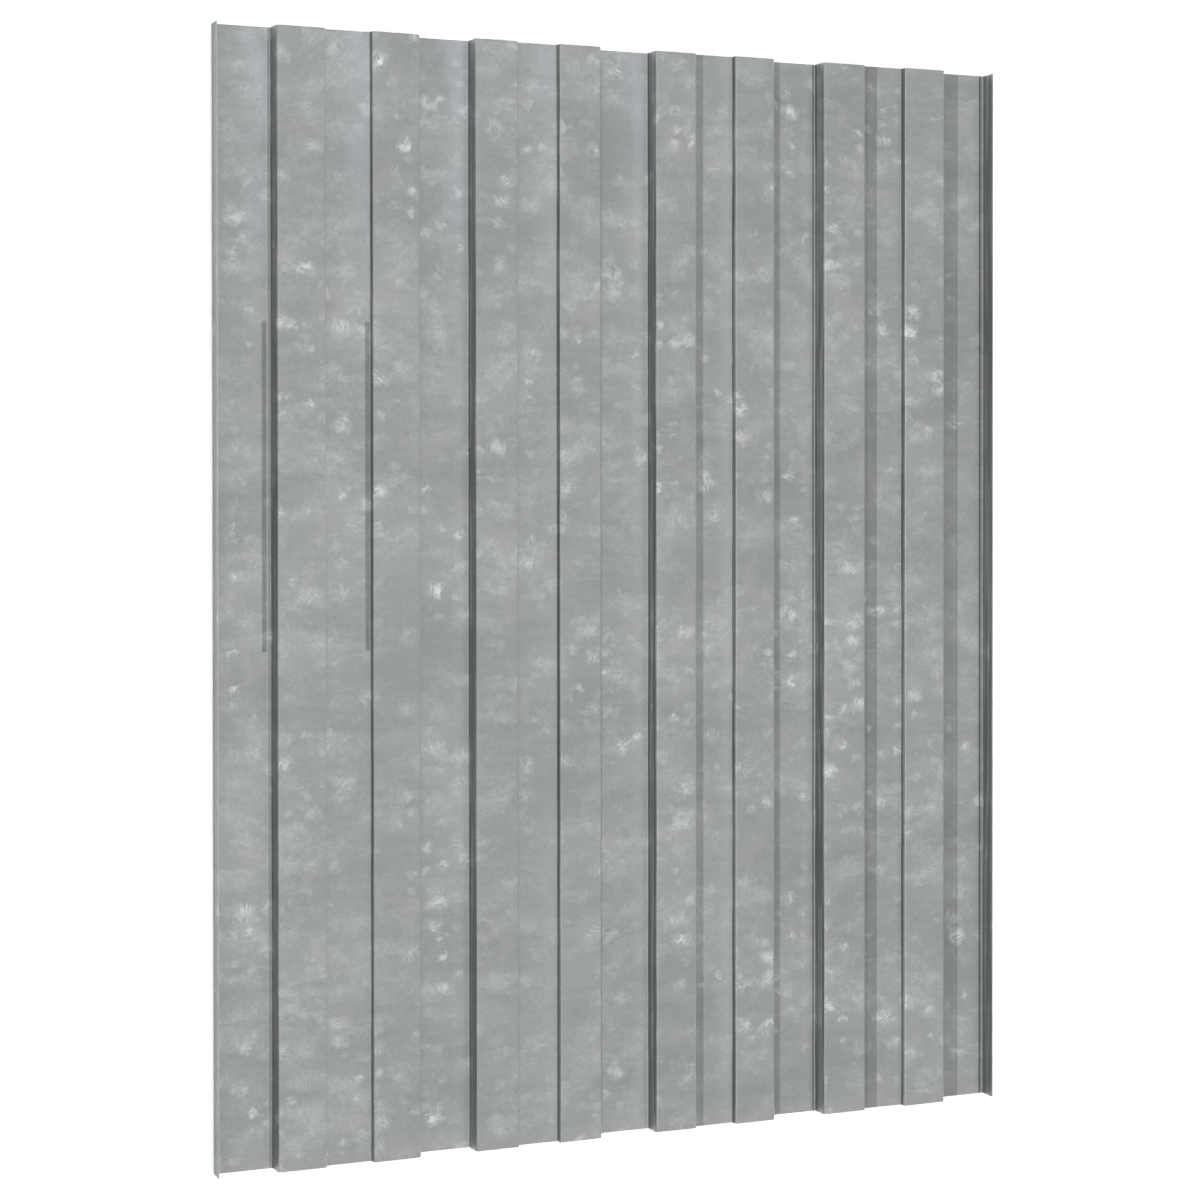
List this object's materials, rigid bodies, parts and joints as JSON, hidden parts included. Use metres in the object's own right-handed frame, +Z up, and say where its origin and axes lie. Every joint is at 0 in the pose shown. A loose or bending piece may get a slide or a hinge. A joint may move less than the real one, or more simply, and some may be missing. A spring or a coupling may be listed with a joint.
{
  "type": "corrugated metal sheet",
  "caption": "Rectangular galvanised steel sheet with wide grooved box ribs running its length, flat pans between them and a lip turned up along each long edge.",
  "frame": {"origin": "centre of the underside of the middle pan, on the floor that the sheet lies on", "axes": "+X across the ribs, +Y along the ribs, +Z up from the floor, the way the ribs and lips stand"},
  "size_m": [0.462, 0.6, 0.0111],
  "materials": {
    "galvanised_steel": "hot-dip galvanised, dull grey with a faint cloudy spangle and fine rolling lines"
  },
  "bodies": {
    "root": {"corrugated_sheet": "galvanised_steel"}
  },
  "joints": []
}
